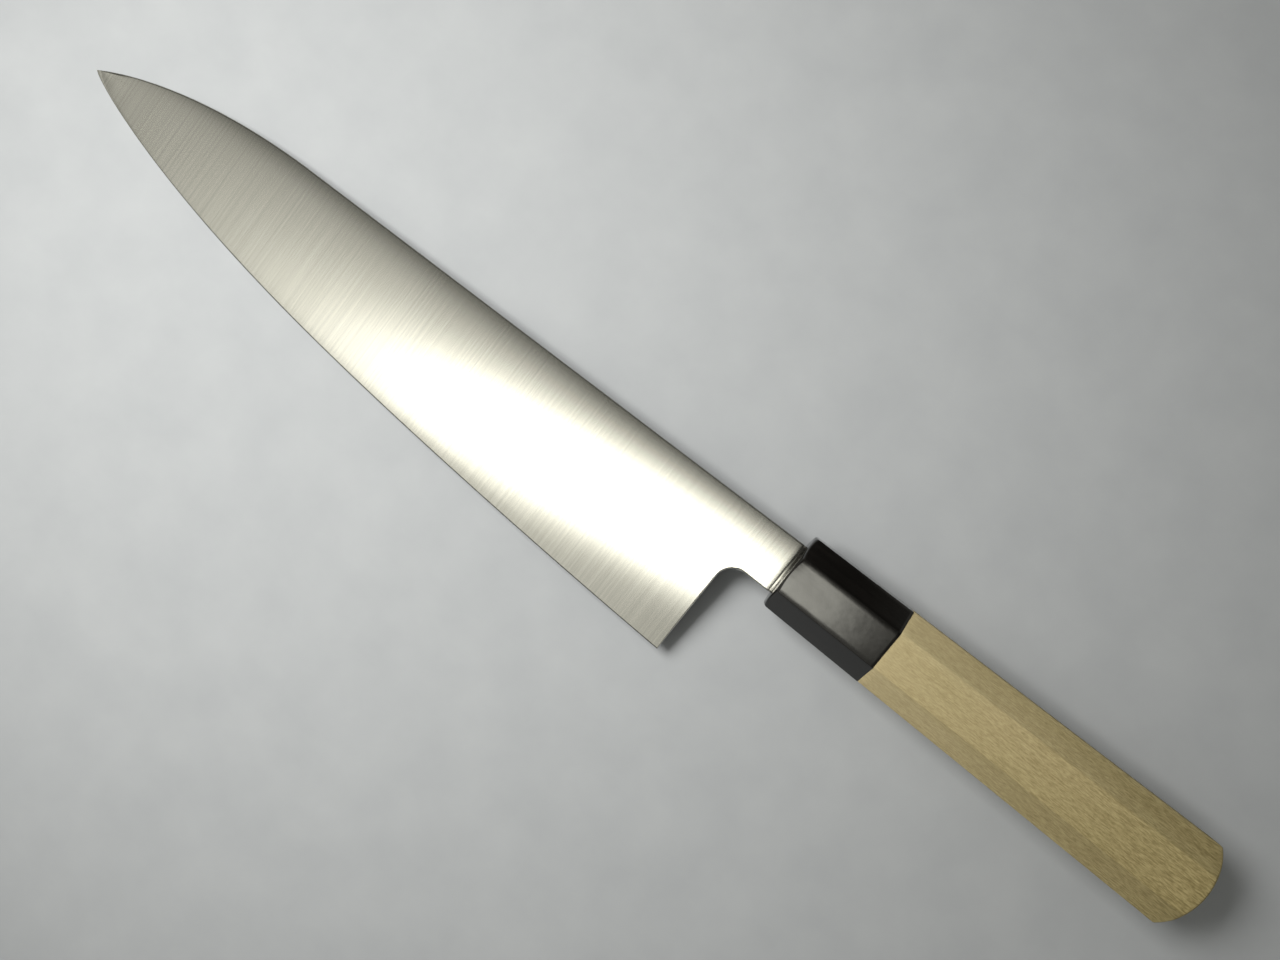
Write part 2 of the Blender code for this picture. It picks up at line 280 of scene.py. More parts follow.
def bezier(p0, p1, p2, p3):
    """Points of a cubic curve from p0 to p3."""
    t = np.linspace(0.0, 1.0, CURVE_POINTS)[:, None]
    s = 1.0 - t
    points = s ** 3 * np.array(p0) + 3 * s * s * t * np.array(p1)
    return points + 3 * s * t * t * np.array(p2) + t ** 3 * np.array(p3)


def spine_curve():
    """Spine from the machi to the tip: straight, then one falling curve."""
    drop_y = SPINE_START[1] + SPINE_SLOPE * (SPINE_DROP_X - SPINE_START[0])
    drop = (SPINE_DROP_X, drop_y)
    leave = (SPINE_DROP_X - SPINE_DROP_HANDLE, drop_y - SPINE_SLOPE * SPINE_DROP_HANDLE)
    arrive = (TIP[0] + TIP_SPINE_HANDLE[0], TIP[1] + TIP_SPINE_HANDLE[1])
    behind = (CURVE_END_X, SPINE_START[1] + SPINE_SLOPE * (CURVE_END_X - SPINE_START[0]))
    return np.vstack([[behind], bezier(drop, leave, arrive, TIP)])[::-1]


def edge_curve():
    """Cutting edge from below the machi, past the heel and the belly, to the tip."""
    behind = (CURVE_END_X, HEEL[1] + HEEL_SLOPE * (HEEL[0] - CURVE_END_X))
    leave = (HEEL[0] - HEEL_HANDLE, HEEL[1] + HEEL_SLOPE * HEEL_HANDLE)
    into_belly = (BELLY[0] + BELLY_HANDLES[0], BELLY[1] - BELLY_SLOPE * BELLY_HANDLES[0])
    out_of_belly = (BELLY[0] - BELLY_HANDLES[1], BELLY[1] + BELLY_SLOPE * BELLY_HANDLES[1])
    arrive = (TIP[0] + TIP_EDGE_HANDLE[0], TIP[1] + TIP_EDGE_HANDLE[1])
    rear = bezier(HEEL, leave, into_belly, BELLY)
    front = bezier(BELLY, out_of_belly, arrive, TIP)
    return np.vstack([[behind], rear, front[1:]])[::-1]


SPINE = spine_curve()
EDGE = edge_curve()
ARC_CENTRE = (CHOIL_X + CHOIL_RADIUS, NECK_UNDER_Y - CHOIL_RADIUS)


def spine_y(x):
    """Y of the spine at x."""
    return float(np.interp(x, SPINE[:, 0], SPINE[:, 1]))


def edge_y(x):
    """Y of the cutting edge at x."""
    return float(np.interp(x, EDGE[:, 0], EDGE[:, 1]))


def slope_factor(curve_y, x):
    """Cosine of the curve's slope: turns a vertical distance into a square one."""
    run = 2 * SLOPE_REACH
    rise = curve_y(x + SLOPE_REACH) - curve_y(x - SLOPE_REACH)
    return run / math.hypot(run, rise)


def wall_x(y):
    """X of the upright wall behind the heel."""
    t = (y - ARC_CENTRE[1]) / (HEEL[1] - ARC_CENTRE[1])
    return lerp(CHOIL_X, HEEL[0], max(0.0, t))


def choil_distance(x, y):
    """How far a point of the blade stands from the notch behind the heel."""
    if y < ARC_CENTRE[1]:
        return wall_x(y) - x
    if x > ARC_CENTRE[0]:
        return y - NECK_UNDER_Y
    return math.hypot(x - ARC_CENTRE[0], y - ARC_CENTRE[1]) - CHOIL_RADIUS


def rounded(height, distance, radius):
    """Height of a face near a rounded edge."""
    radius = min(radius, height * ROUNDING_LIMIT)
    if distance >= radius:
        return height
    inside = radius - max(0.0, distance)
    return height - radius + math.sqrt(max(0.0, radius * radius - inside * inside))


def half_thickness(x, y):
    """The blade's side: convex grind, rounded spine and choil, bevelled edge, fall to the seam."""
    top = spine_y(x)
    low = edge_y(x)
    along = min(1.0, max(0.0, (SPINE_START[0] - x) / (SPINE_START[0] - TIP[0])))
    half = lerp(NECK_THICKNESS, TIP_THICKNESS, along ** DISTAL_POWER) / 2
    fall = min(1.0, max(0.0, (top - y) / max(top - low, 1e-6)))
    height = lerp(half, BEHIND_EDGE_THICKNESS / 2, fall ** GRIND_POWER)
    spine_distance = (top - y) * slope_factor(spine_y, x)
    height = rounded(height, spine_distance, SPINE_ROUNDING)
    height = rounded(height, choil_distance(x, y), CHOIL_ROUNDING)
    to_seam = MACHI_X - x
    if to_seam < NECK_FALL_LENGTH:
        rest = 1.0 - max(0.0, to_seam) / NECK_FALL_LENGTH
        height -= NECK_FALL_DEPTH * (1.0 - math.sqrt(max(0.0, 1.0 - rest ** 2)))
    edge_distance = (y - low) * slope_factor(edge_y, x)
    bevel_slope = (BEHIND_EDGE_THICKNESS / 2 - APEX) / BEVEL_WIDTH
    return max(APEX, min(height, APEX + max(0.0, edge_distance) * bevel_slope))


def blade_rows():
    """Rows from spine to edge, as (block, share, offset from the block's top, offset from its foot)."""
    rows = [("neck", 0.0, step, 0.0) for step in EDGE_ROWS]
    rows += [("neck", k / NECK_ROWS, 0.0, 0.0) for k in range(1, NECK_ROWS)]
    rows += [("neck", 1.0, 0.0, step) for step in reversed(EDGE_ROWS)]
    rows += [("arc", k / ARC_ROWS, 0.0, 0.0) for k in range(1, ARC_ROWS + 1)]
    rows += [("heel", (k / HEEL_ROWS) ** HEEL_ROW_POWER, 0.0, 0.0) for k in range(1, HEEL_ROWS)]
    rows += [("heel", 1.0, 0.0, BEVEL_WIDTH), ("heel", 1.0, 0.0, 0.0)]
    return rows


def row_y(row, x):
    """Y of one row at x. Offsets shrink where the blade narrows towards the tip."""
    block, share, down, up = row
    top = spine_y(x)
    low = edge_y(x)
    height = top - low
    shrink = min(1.0, height / SHRINK_BELOW)
    full = spine_y(HEEL[0]) - edge_y(HEEL[0])
    neck_share = (spine_y(HEEL[0]) - NECK_UNDER_Y) / full
    arc_share = (spine_y(HEEL[0]) - ARC_CENTRE[1]) / full
    blend = min(1.0, max(0.0, (x - ROW_BLEND_X[0]) / (ROW_BLEND_X[1] - ROW_BLEND_X[0])))
    neck_y = lerp(top - neck_share * height, NECK_UNDER_Y, blend)
    arc_y = lerp(top - arc_share * height, ARC_CENTRE[1], blend)
    ends = {"neck": (top, neck_y), "arc": (neck_y, arc_y), "heel": (arc_y, low)}
    start, stop = ends[block]
    return lerp(start, stop, share) - down * shrink + up * shrink


def end_columns(y):
    """X of the last columns of a row that ends on the choil, up to the wall or the arc."""
    marks = []
    for step in reversed(EDGE_ROWS):
        if y < ARC_CENTRE[1]:
            marks.append(wall_x(y) - step)
        else:
            rise = min(CHOIL_RADIUS, y - ARC_CENTRE[1])
            reach = CHOIL_RADIUS + step
            marks.append(ARC_CENTRE[0] - math.sqrt(max(0.0, reach * reach - rise * rise)))
    steps = [k / CHOIL_COLUMNS for k in range(CHOIL_COLUMNS)]
    return [lerp(FRONT_END_X, marks[0], step) for step in steps] + marks


def blade_grid():
    """Rows of (x, y) places over the blade's side. Only the neck's rows run on to the seam."""
    first = TIP[0] + TIP_STUB
    steps = [(k / FRONT_COLUMNS) ** FRONT_SPACING for k in range(FRONT_COLUMNS)]
    front = [lerp(first, FRONT_END_X, step) for step in steps]
    seam_start = MACHI_X - SEAM_COLUMNS[-1]
    neck_tail = [lerp(ARC_CENTRE[0], seam_start, k / NECK_COLUMNS) for k in range(1, NECK_COLUMNS)]
    neck_tail += [MACHI_X - step for step in reversed(SEAM_COLUMNS)]
    grid = []
    for row in blade_rows():
        in_neck = row[0] == "neck"
        columns = front + end_columns(NECK_UNDER_Y if in_neck else row_y(row, CHOIL_X))
        if in_neck:
            columns = columns + neck_tail
        grid.append([(x, row_y(row, x)) for x in columns])
    return grid


def make_blade():
    """Blade: both sides over the same grid, joined all round; hard edges along the bevel's shoulder."""
    mesh = bmesh.new()
    grid = blade_grid()
    sides = []
    for sign in (1.0, -1.0):
        sides.append([[mesh.verts.new(Vector((x, y, sign * half_thickness(x, y))) * MM)
                       for x, y in line] for line in grid])
    left, right = sides
    for side in sides:
        for upper, lower in zip(side, side[1:]):
            for i in range(min(len(upper), len(lower)) - 1):
                mesh.faces.new((upper[i], upper[i + 1], lower[i + 1], lower[i]))
    partner = {a: b for up, down in zip(left, right) for a, b in zip(up, down)}
    rim = [edge for edge in mesh.edges if len(edge.link_faces) == 1 and edge.verts[0] in partner]
    for edge in rim:
        a, b = edge.verts
        mesh.faces.new((a, b, partner[b], partner[a]))
    shoulder = set(left[-2]) | set(right[-2])
    crisp = [edge for edge in mesh.edges if edge.verts[0] in shoulder and edge.verts[1] in shoulder]
    shade(mesh, hard_past=42.0, crisp=crisp)
    return new_piece("blade_ground", mesh, "blade")


# ---------------------------------------------------------------- handle

def handle_size(x):
    """Half width along Y, half width along Z and chamfer size of the handle's section at x."""
    t = x / HANDLE_END_X
    return (lerp(FRONT_SIZE[0], BUTT_SIZE[0], t) / 2, lerp(FRONT_SIZE[1], BUTT_SIZE[1], t) / 2,
            lerp(FRONT_CHAMFER, BUTT_CHAMFER, t))


def octagon(x, softness):
    """Handle section at x as (y, z) rows: flats split evenly and corners eased with an arc."""
    a, b, c = handle_size(x)
    corners = [Vector(p) for p in ((a, c - b), (a, b - c), (a - c, b), (c - a, b),
                                   (-a, b - c), (-a, c - b), (c - a, -b), (a - c, -b))]
    points = []
    bend = 2 * math.pi / SIDES
    reach = softness * math.tan(bend / 2)
    for i, corner in enumerate(corners):
        before = (corners[i - 1] - corner).normalized()
        following = corners[(i + 1) % len(corners)]
        after = (following - corner).normalized()
        start = corner + before * reach
        stop = corner + after * reach
        centre = corner + (before + after).normalized() * (softness / math.cos(bend / 2))
        first = math.atan2(start.y - centre.y, start.x - centre.x)
        for k in range(PER_CORNER + 1):
            angle = first + bend * k / PER_CORNER
            points.append((centre.x + softness * math.cos(angle), centre.y + softness * math.sin(angle)))
        next_start = following - after * reach
        points += [tuple(stop.lerp(next_start, k / PER_FLAT)) for k in range(1, PER_FLAT)]
    return np.array(points)


def ring(x, softness, inset=0.0):
    """Section ring at x, moved inwards a little where a rim is eased."""
    section = octagon(x, softness)
    size = np.hypot(section[:, 0], section[:, 1])
    section = section * ((size - inset) / size)[:, None]
    return [(x, y, z) for y, z in section]


def joint_rings(side, softness):
    """Rings of an eased rim at the joint of horn and wood: side is 1 on the wood and -1 on the horn."""
    return [ring(JOINT_X + side * off, softness, inset) for off, inset in JOINT_RIM]


def rim_points(surface_x, softness):
    """X, Y and Z rows where the eased octagon meets an end surface x = f(y, z)."""
    front = octagon(0.0, softness)
    back = octagon(HANDLE_END_X, softness)
    x = np.zeros(len(front))
    for _ in range(RIM_ROUNDS):
        section = front + (back - front) * (x / HANDLE_END_X)[:, None]
        x = surface_x(section[:, 0], section[:, 1])
    return x, section[:, 0], section[:, 1]


def cap_rings(surface_x, softness, inward, fillet, shares, steps=6, spread=1.0):
    """Rings that leave the flats, turn over a soft rim and run in over an end surface.

    inward is the sign of X into the handle, fillet the rim's size along the flats, and spread how many
    times that size it takes over the end surface. shares place the last rings.
    """
    x, y, z = rim_points(surface_x, softness)
    size = np.hypot(y, z)
    inner = (size - fillet * spread) / size
    inner_x = surface_x(y * inner, z * inner)
    rings = []
    for t in np.linspace(0.0, 1.0, steps + 1):
        scale = (1 - t * t) + inner * t * t
        now_x = (x + inward * fillet) * (1 - t) ** 2 + x * 2 * t * (1 - t) + inner_x * t * t
        rings.append(list(zip(now_x, y * scale, z * scale)))
    for share in shares:
        scale = inner * share
        rings.append(list(zip(surface_x(y * scale, z * scale), y * scale, z * scale)))
    return rings


def dome_x(y, z):
    """The butt's spherical end."""
    return DOME_TOP_X - DOME_RADIUS + np.sqrt(DOME_RADIUS ** 2 - (y - DOME_CENTRE_Y) ** 2 - z * z)


def flat_front_x(y, z):
    """The ferrule's flat front."""
    return np.zeros(len(y))


def corner_share():
    """For each point of an octagon ring: 1 at the corners, falling to 0 in the middle of a flat."""
    along = np.arange(1, PER_FLAT) / PER_FLAT
    flat = (2.0 * np.abs(along - 0.5)) ** 2
    return np.tile(np.concatenate([np.ones(PER_CORNER + 1), flat]), SIDES)


def make_handle():
    """Wooden handle: eased octagon from the joint to the domed butt."""
    mesh = bmesh.new()
    rings = joint_rings(1, WOOD_SOFTNESS)
    rings += [ring(x, WOOD_SOFTNESS) for x in WOOD_RINGS_X]
    rings += cap_rings(dome_x, WOOD_SOFTNESS, -1.0, DOME_FILLET, BUTT_SHARES)
    skin(mesh, rings)
    shade(mesh, hard_past=50.0)
    return new_piece("handle_magnolia", mesh, "handle_body")


def rounded_slot(x, height, thickness, corner):
    """Ring of a rounded rectangle across the knife's axis."""
    points = []
    a = height / 2 - corner
    b = thickness / 2 - corner
    for cy, cz, start in ((a, b, 0.0), (-a, b, 90.0), (-a, -b, 180.0), (a, -b, 270.0)):
        for k in range(SLOT_PER_CORNER + 1):
            angle = math.radians(start + 90.0 * k / SLOT_PER_CORNER)
            points.append((x, cy + corner * math.cos(angle), cz + corner * math.sin(angle)))
    return points


def make_ferrule():
    """Horn ferrule: eased octagon with a flat front, a rounded rim and a mouth for the tang."""
    mesh = bmesh.new()
    rounding = lerp(*FRONT_ROUNDING, corner_share())
    outer = cap_rings(flat_front_x, HORN_SOFTNESS, 1.0, rounding, FRONT_SHARES,
                      steps=FRONT_RIM_STEPS, spread=FRONT_RIM_SPREAD)[::-1]
    outer += [ring(x, HORN_SOFTNESS) for x in HORN_RINGS_X]
    outer += joint_rings(-1, HORN_SOFTNESS)[::-1]
    rows = skin(mesh, outer, cap_start=False)
    mouth, deep = [[mesh.verts.new(Vector(p) * MM) for p in rounded_slot(x, *MOUTH_SIZE, MOUTH_CORNER)]
                   for x in (0.0, MOUTH_DEPTH)]
    loop_edges = []
    for loop in (rows[0], mouth):
        for i in range(len(loop)):
            pair = (loop[i], loop[(i + 1) % len(loop)])
            loop_edges.append(mesh.edges.get(pair) or mesh.edges.new(pair))
    bmesh.ops.triangle_fill(mesh, edges=loop_edges, use_beauty=True)
    for i in range(len(mouth)):
        j = (i + 1) % len(mouth)
        mesh.faces.new((mouth[i], mouth[j], deep[j], deep[i]))
    mesh.faces.new(deep)
    shade(mesh, hard_past=40.0)
    lean = Matrix.Translation((0.0, 0.0, HORN_LIFT * MM)) @ Matrix.Rotation(HORN_LEAN, 4, "X")
    bmesh.ops.transform(mesh, matrix=lean, verts=mesh.verts)
    return new_piece("ferrule_horn", mesh, "ferrule")


# ---------------------------------------------------------------- tang and seal

def tang_size(x):
    """Height and thickness of the tang at x."""
    t = max(0.0, min(1.0, x / TANG_END_X))
    return tuple(lerp(a, b, t) for a, b in zip(TANG_FRONT_SIZE, TANG_END_SIZE))


def make_tang():
    """Steel plate in front of the ferrule, with eased rims, and the tang behind it."""
    mesh = bmesh.new()
    centre = (SPINE_START[1] + NECK_UNDER_Y) / 2
    height = SPINE_START[1] - NECK_UNDER_Y - PLATE_PLAY
    rings = []
    for x, inset in PLATE_RINGS:
        shape = rounded_slot(x, height - 2 * inset, PLATE_THICKNESS - 2 * inset, PLATE_CORNER)
        rings.append([(px, y + centre, z) for px, y, z in shape])
    plate_back_x = PLATE_RINGS[-1][0]
    rings += [rounded_slot(x, *tang_size(x), TANG_CORNER) for x in (plate_back_x, *TANG_RINGS_X)]
    rings.append(rounded_slot(TANG_END_X, *TANG_POINT_SIZE, TANG_CORNER))
    skin(mesh, rings)
    shade(mesh, hard_past=40.0)
    return new_piece("tang_plate", mesh, "tang")


def make_seal():
    """Filler that closes the ferrule's mouth round the tang, sunk a little into it."""
    mesh = bmesh.new()
    hole = [side + SEAL_HOLE_PLAY for side in TANG_FRONT_SIZE]
    outline = [side - SEAL_RIM_PLAY for side in MOUTH_SIZE]
    rings = [rounded_slot(SEAL_HOLE_X, *hole, TANG_CORNER),
             rounded_slot(SEAL_MIDDLE_X, *SEAL_MIDDLE_SIZE, SEAL_MIDDLE_CORNER),
             rounded_slot(SEAL_RIM_X, *outline, MOUTH_CORNER),
             rounded_slot(SEAL_BACK_X, *outline, MOUTH_CORNER),
             rounded_slot(SEAL_BACK_X, *hole, TANG_CORNER)]
    skin(mesh, rings, closed=True)
    shade(mesh, hard_past=40.0)
    return new_piece("seal_resin", mesh, "mouth_seal")


# ---------------------------------------------------------------- materials

def new_material(name):
    """A new material with its node tree and its shader."""
    result = bpy.data.materials.new(name)
    result.use_nodes = True
    tree = result.node_tree
    return result, tree, tree.nodes["Principled BSDF"]


def node(tree, kind, **inputs):
    """Add a node; keyword names are its input sockets with _ for a space."""
    made = tree.nodes.new(kind)
    for name, value in inputs.items():
        made.inputs[name.replace("_", " ")].default_value = value
    return made


def knife_place(tree):
    """Each point's place in the knife's own axes, in metres."""
    place = tree.nodes.new("ShaderNodeAttribute")
    place.attribute_name = PLACE
    return place.outputs["Vector"]


def scaled_noise(tree, place, scale, detail=4.0, roughness=0.55, distortion=0.0):
    """Noise over a place, in features per metre along X, Y and Z."""
    mapping = node(tree, "ShaderNodeMapping", Scale=scale)
    tree.links.new(place, mapping.inputs["Vector"])
    noise = node(tree, "ShaderNodeTexNoise", Scale=1.0, Detail=detail, Roughness=roughness,
                 Distortion=distortion)
    tree.links.new(mapping.outputs["Vector"], noise.inputs["Vector"])
    return noise.outputs["Fac"]


def stretched_noise(tree, scale, **character):
    """Noise in the knife's axes, for a grain that follows the knife."""
    return scaled_noise(tree, knife_place(tree), scale, **character)


def even_noise(tree, scale):
    """Noise without a direction, for pieces without the knife's own places."""
    place = tree.nodes.new("ShaderNodeTexCoord")
    return scaled_noise(tree, place.outputs["Object"], (scale, scale, scale))


def ramp(tree, source, stops):
    """Colour ramp over a value: stops of (position, colour)."""
    made = tree.nodes.new("ShaderNodeValToRGB")
    elements = made.color_ramp.elements
    while len(elements) < len(stops):
        elements.new(0.5)
    for element, (position, colour) in zip(elements, stops):
        element.position = position
        element.color = (*colour, 1.0)
    tree.links.new(source, made.inputs["Fac"])
    return made.outputs["Color"]


def span(tree, source, low, high, from_low=0.0, from_high=1.0):
    """Turn a value that runs from from_low to from_high into one from low to high, clamped."""
    made = node(tree, "ShaderNodeMapRange", From_Min=from_low, From_Max=from_high, To_Min=low, To_Max=high)
    tree.links.new(source, made.inputs["Value"])
    return made.outputs["Result"]


def multiply(tree, factor, first, second):
    """Multiply two colours by a share of the second; the factor may be a number or a socket."""
    made = tree.nodes.new("ShaderNodeMix")
    made.data_type = "RGBA"
    made.blend_type = "MULTIPLY"
    if isinstance(factor, float):
        made.inputs["Factor"].default_value = factor
    else:
        tree.links.new(factor, made.inputs["Factor"])
    tree.links.new(first, made.inputs["A"])
    tree.links.new(second, made.inputs["B"])
    return made.outputs["Result"]


def bump(tree, shader, sources):
    """Give a shader a chain of bumps from (height socket, depth in metres)."""
    normal = None
    for source, depth in sources:
        made = node(tree, "ShaderNodeBump", Strength=1.0, Distance=depth)
        tree.links.new(source, made.inputs["Height"])
        if normal:
            tree.links.new(normal, made.inputs["Normal"])
        normal = made.outputs["Normal"]
    tree.links.new(normal, shader.inputs["Normal"])


def steel_material(name, base, rough_low, rough_high, line_depth):
    """Ground steel whose fine scratch lines run from spine to edge."""
    material, tree, shader = new_material(name)
    shader.inputs["Metallic"].default_value = 1.0
    shader.inputs["Anisotropic"].default_value = 0.93
    lines = stretched_noise(tree, (5000.0, 50.0, 50.0), detail=3.0)
    bands = stretched_noise(tree, (1700.0, 18.0, 18.0), detail=3.0, roughness=0.6)
    clouds = stretched_noise(tree, (30.0, 45.0, 45.0), detail=3.0)
    dark = tuple(value * 0.91 for value in base)
    light = tuple(min(1.0, value * 1.06) for value in base)
    tone = ramp(tree, bands, ((0.3, dark), (0.7, light)))
    stain = ramp(tree, clouds, ((0.35, (0.96, 0.96, 0.95)), (0.7, (1.0, 1.0, 1.0))))
    tree.links.new(multiply(tree, 1.0, tone, stain), shader.inputs["Base Color"])
    tree.links.new(span(tree, lines, rough_low, rough_high, 0.3, 0.7), shader.inputs["Roughness"])
    along = tree.nodes.new("ShaderNodeCombineXYZ")
    for socket, value in zip(along.inputs, KNIFE.to_3x3() @ Vector((1.0, 0.0, 0.0))):
        socket.default_value = value
    tree.links.new(along.outputs["Vector"], shader.inputs["Tangent"])
    bump(tree, shader, ((lines, line_depth), (bands, line_depth * 0.4)))
    return material


def horn_material():
    """Polished near-black water buffalo horn with faint streaks along the handle."""
    material, tree, shader = new_material("horn_polished")
    streaks = stretched_noise(tree, (45.0, 700.0, 700.0), detail=5.0, roughness=0.6, distortion=0.3)
    clouds = stretched_noise(tree, (120.0, 160.0, 160.0), detail=3.0)
    fine = stretched_noise(tree, (2500.0, 6000.0, 6000.0), detail=2.0)
    tone = ramp(tree, streaks, ((0.35, (0.0035, 0.0032, 0.003)), (0.62, (0.006, 0.0054, 0.005)),
                                (0.8, (0.011, 0.009, 0.0075))))
    tree.links.new(tone, shader.inputs["Base Color"])
    tree.links.new(span(tree, clouds, 0.085, 0.125, 0.3, 0.7), shader.inputs["Roughness"])
    shader.inputs["IOR"].default_value = 1.6
    bump(tree, shader, ((streaks, 0.000006), (clouds, 0.00002), (fine, 0.000001)))
    return material


def wood_material():
    """Unvarnished magnolia: pale, with a short straight grain that grows stronger towards the butt, and
    painted shade that darkens it towards the butt.
    """
    material, tree, shader = new_material("magnolia_wood")
    rings = stretched_noise(tree, (9.0, 190.0, 190.0), detail=3.0, distortion=0.6)
    grain = stretched_noise(tree, (430.0, 3300.0, 3300.0), detail=5.0, roughness=0.7)
    flecks = stretched_noise(tree, (900.0, 4200.0, 4200.0), detail=2.0)
    clouds = stretched_noise(tree, (28.0, 70.0, 70.0), detail=3.0)
    base = ramp(tree, rings, ((0.3, (0.403, 0.328, 0.174)), (0.55, (0.439, 0.361, 0.198)),
                              (0.75, (0.478, 0.398, 0.228))))
    fibre = ramp(tree, grain, ((0.40, (0.61, 0.58, 0.50)), (0.61, (1.16, 1.16, 1.16))))
    pores = ramp(tree, flecks, ((0.34, (0.72, 0.68, 0.60)), (0.52, (1.03, 1.03, 1.03))))
    tint = ramp(tree, clouds, ((0.3, (0.92, 0.93, 0.90)), (0.7, (1.0, 1.0, 1.0))))
    parts = tree.nodes.new("ShaderNodeSeparateXYZ")
    tree.links.new(knife_place(tree), parts.inputs["Vector"])
    # share of the way from the joint to the butt: it strengthens the grain and drives the painted shade
    # below
    butt_share = span(tree, parts.outputs["X"], 0.0, 1.0, JOINT_X * MM, HANDLE_END_X * MM)
    colour = multiply(tree, span(tree, butt_share, 0.33, 1.0), base, fibre)
    colour = multiply(tree, 0.4, colour, pores)
    colour = multiply(tree, 1.0, colour, tint)
    # painted shade: the colour darkens and yellows towards the butt, standing in for the light falling off
    # along the handle
    painted_butt_shade = ramp(tree, butt_share, ((0.0, (0.97, 0.99, 1.085)), (1.0, (0.795, 0.805, 0.735))))
    colour = multiply(tree, 1.0, colour, painted_butt_shade)
    tree.links.new(colour, shader.inputs["Base Color"])
    tree.links.new(span(tree, grain, 0.5, 0.68, 0.3, 0.7), shader.inputs["Roughness"])
    shader.inputs["Specular IOR Level"].default_value = 0.35
    bump(tree, shader, ((grain, 0.00004), (flecks, 0.00003)))
    return material


def resin_material():
    """Mottled dark resin round the tang."""
    material, tree, shader = new_material("resin_dark")
    mottle = even_noise(tree, 900.0)
    tone = ramp(tree, mottle, ((0.3, (0.02, 0.018, 0.014)), (0.7, (0.045, 0.038, 0.03))))
    tree.links.new(tone, shader.inputs["Base Color"])
    tree.links.new(span(tree, mottle, 0.4, 0.6), shader.inputs["Roughness"])
    bump(tree, shader, ((mottle, 0.00005),))
    return material


def floor_material():
    """Pale grey floor, a little darker than white, so that the bright blade stands out from it."""
    material, tree, shader = new_material("floor_pale")
    mottle = even_noise(tree, 60.0)
    tone = ramp(tree, mottle, ((0.3, (0.335, 0.35, 0.38)), (0.7, (0.36, 0.375, 0.405))))
    tree.links.new(tone, shader.inputs["Base Color"])
    shader.inputs["Roughness"].default_value = 0.8
    shader.inputs["Specular IOR Level"].default_value = 0.2
    return material


# ---------------------------------------------------------------- stage, light and camera

def make_camera():
    """Camera at the photograph's viewing angle, turned about its line of sight by CAMERA_SPIN."""
    data = bpy.data.cameras.new("camera")
    data.lens = CAMERA_LENS
    data.sensor_width = 36.0
    data.clip_start = 0.01
    camera = bpy.data.objects.new("camera", data)
    bpy.context.scene.collection.objects.link(camera)
    back = (Vector(CAMERA_PLACE) - Vector(CAMERA_AIM)).normalized()
    right = Vector((math.cos(CAMERA_SPIN), math.sin(CAMERA_SPIN), 0.0))
    right = (right - right.project(back)).normalized()
    up = back.cross(right)
    turn = Matrix((right, up, back)).transposed().to_4x4()
    camera.matrix_world = Matrix.Translation(CAMERA_PLACE) @ turn
    bpy.context.scene.camera = camera


def make_softbox():
    """Square softbox beside the knife, which the polished pieces don't mirror."""
    data = bpy.data.lights.new("side_softbox", "AREA")
    data.shape = "RECTANGLE"
    data.size = SOFTBOX_SIZE
    data.size_y = SOFTBOX_SIZE
    data.energy = SOFTBOX_POWER
    data.color = SOFTBOX_COLOUR
    data.spread = SOFTBOX_SPREAD
    softbox = bpy.data.objects.new("side_softbox", data)
    bpy.context.scene.collection.objects.link(softbox)
    softbox.location = SOFTBOX_PLACE
    softbox.rotation_mode = "QUATERNION"
    softbox.rotation_quaternion = (Vector(SOFTBOX_PLACE) - Vector(SOFTBOX_AIM)).to_track_quat("Z", "Y")
    softbox.visible_glossy = False


def make_stage(floor_look):
    """Flat floor just under the knife."""
    mesh = bmesh.new()
    corners = ((-1, -1), (1, -1), (1, 1), (-1, 1))
    mesh.faces.new([mesh.verts.new((x * FLOOR_HALF, y * FLOOR_HALF, 0.0)) for x, y in corners])
    data = bpy.data.meshes.new("floor")
    mesh.to_mesh(data)
    mesh.free()
    floor = bpy.data.objects.new("floor", data)
    floor.location.z = FLOOR_Z
    bpy.context.scene.collection.objects.link(floor)
    floor.data.materials.append(floor_look)


def calculate(tree, operation, first, second=0.0):
    """One math node; inputs may be numbers or sockets."""
    made = tree.nodes.new("ShaderNodeMath")
    made.operation = operation
    for socket, value in zip(made.inputs, (first, second)):
        if isinstance(value, float):
            socket.default_value = value
        else:
            tree.links.new(value, socket)
    return made.outputs["Value"]


def soft_spot(tree, lean_x, lean_y, centre, size, tilt):
    """A spot of light, 1 in its centre: long along X, soft towards +Y and steeper towards -Y."""
    off_x = calculate(tree, "SUBTRACT", lean_x, centre[0])
    off_y = calculate(tree, "SUBTRACT", lean_y, centre[1])
    off_y = calculate(tree, "SUBTRACT", off_y, calculate(tree, "MULTIPLY", off_x, tilt))
    off_x = calculate(tree, "ABSOLUTE", off_x)
    far_x = calculate(tree, "POWER", calculate(tree, "DIVIDE", off_x, size[0]), 3.0)
    beyond = calculate(tree, "MAXIMUM", calculate(tree, "DIVIDE", off_y, size[1]), 0.0)
    beyond = calculate(tree, "POWER", beyond, 2.0)
    short = calculate(tree, "MAXIMUM", calculate(tree, "DIVIDE", off_y, -size[2]), 0.0)
    short = calculate(tree, "POWER", short, 4.0)
    far = calculate(tree, "ADD", far_x, calculate(tree, "ADD", beyond, short))
    return calculate(tree, "EXPONENT", calculate(tree, "MULTIPLY", far, -1.0))


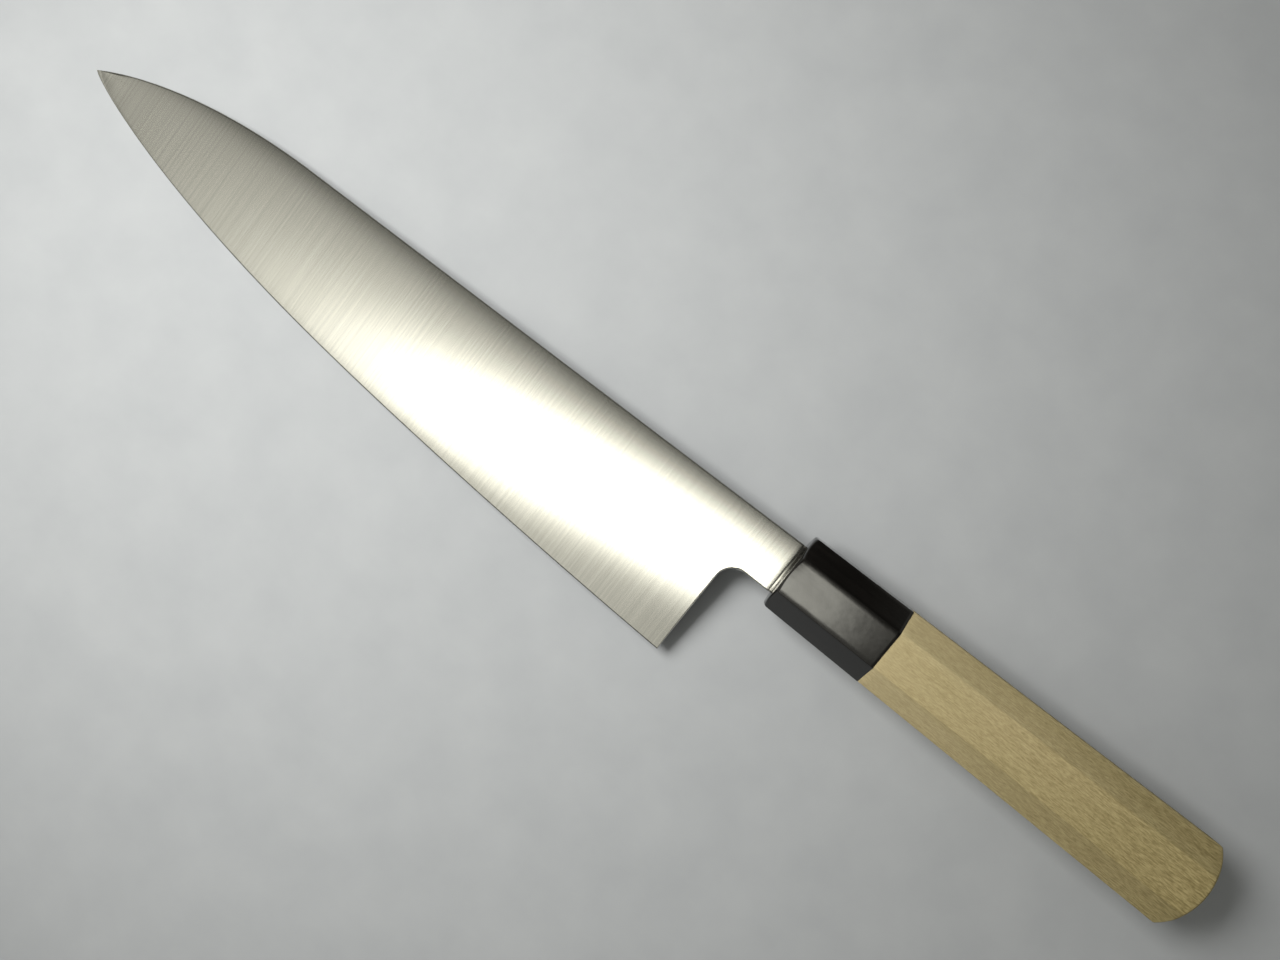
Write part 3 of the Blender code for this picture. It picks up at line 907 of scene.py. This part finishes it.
def make_world():
    """Studio surroundings: light sides and a dark gap overhead, with a long soft lamp beside the gap.

    A weak glow lies past the lamp's far end, and a weak reflector beside the lamp.
    """
    world = bpy.data.worlds.new("studio")
    world.use_nodes = True
    tree = world.node_tree
    place = tree.nodes.new("ShaderNodeTexCoord")
    parts = tree.nodes.new("ShaderNodeSeparateXYZ")
    tree.links.new(place.outputs["Generated"], parts.inputs["Vector"])
    height = calculate(tree, "MAXIMUM", parts.outputs["Z"], LOWEST_HEIGHT)
    lean_x = calculate(tree, "DIVIDE", parts.outputs["X"], height)
    lean_y = calculate(tree, "DIVIDE", parts.outputs["Y"], height)
    sides = None
    for light, edge in SIDE_LIGHTS:
        step = span(tree, lean_y, *light, *edge)
        sides = calculate(tree, "ADD", sides, step) if sides else step
    sides = calculate(tree, "MULTIPLY", sides, span(tree, lean_x, 1.0, SIDE_END_LIGHT, *SIDE_END))
    sides = calculate(tree, "ADD", sides, span(tree, lean_x, 0.0, ROOM_LIGHT, *ROOM_NEAR_BUTT))
    sides = calculate(tree, "ADD", sides, span(tree, lean_x, ROOM_LIGHT, 0.0, *ROOM_NEAR_TIP))
    lamp = soft_spot(tree, lean_x, lean_y, LAMP_CENTRE, LAMP_SIZE, LAMP_TILT)
    end = span(tree, lean_x, 1.0, 0.0, *LAMP_END)
    lamp = calculate(tree, "MULTIPLY", calculate(tree, "MULTIPLY", lamp, end), LAMP_LIGHT)
    glow = soft_spot(tree, lean_x, lean_y, GLOW_CENTRE, GLOW_SIZE, 0.0)
    glow = calculate(tree, "MULTIPLY", glow, GLOW_LIGHT)
    reflector = soft_spot(tree, lean_x, lean_y, REFLECTOR_CENTRE, REFLECTOR_SIZE, 0.0)
    glow = calculate(tree, "ADD", glow, calculate(tree, "MULTIPLY", reflector, REFLECTOR_LIGHT))
    light = calculate(tree, "ADD", calculate(tree, "ADD", sides, lamp), glow)
    background = tree.nodes["Background"]
    background.inputs["Color"].default_value = (*WARM, 1.0)
    tree.links.new(light, background.inputs["Strength"])
    bpy.context.scene.world = world


def main():
    """Build the visible pieces, give every piece its look, and set the stage."""
    blade_steel = steel_material("blade_steel_satin", (0.60, 0.595, 0.57), 0.135, 0.155, 0.000001)
    tang_steel = steel_material("tang_steel_ground", (0.56, 0.55, 0.52), 0.22, 0.28, 0.000002)
    looks = ((make_blade(), blade_steel), (make_tang(), tang_steel), (make_ferrule(), horn_material()),
             (make_handle(), wood_material()), (make_seal(), resin_material()))
    for piece, look in looks:
        piece.data.materials.append(look)
    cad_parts["tang_bedding"].material_slots[0].material = resin_material()
    make_stage(floor_material())
    make_world()
    make_softbox()
    make_camera()
    bpy.context.scene.view_settings.view_transform = "Standard"


main()
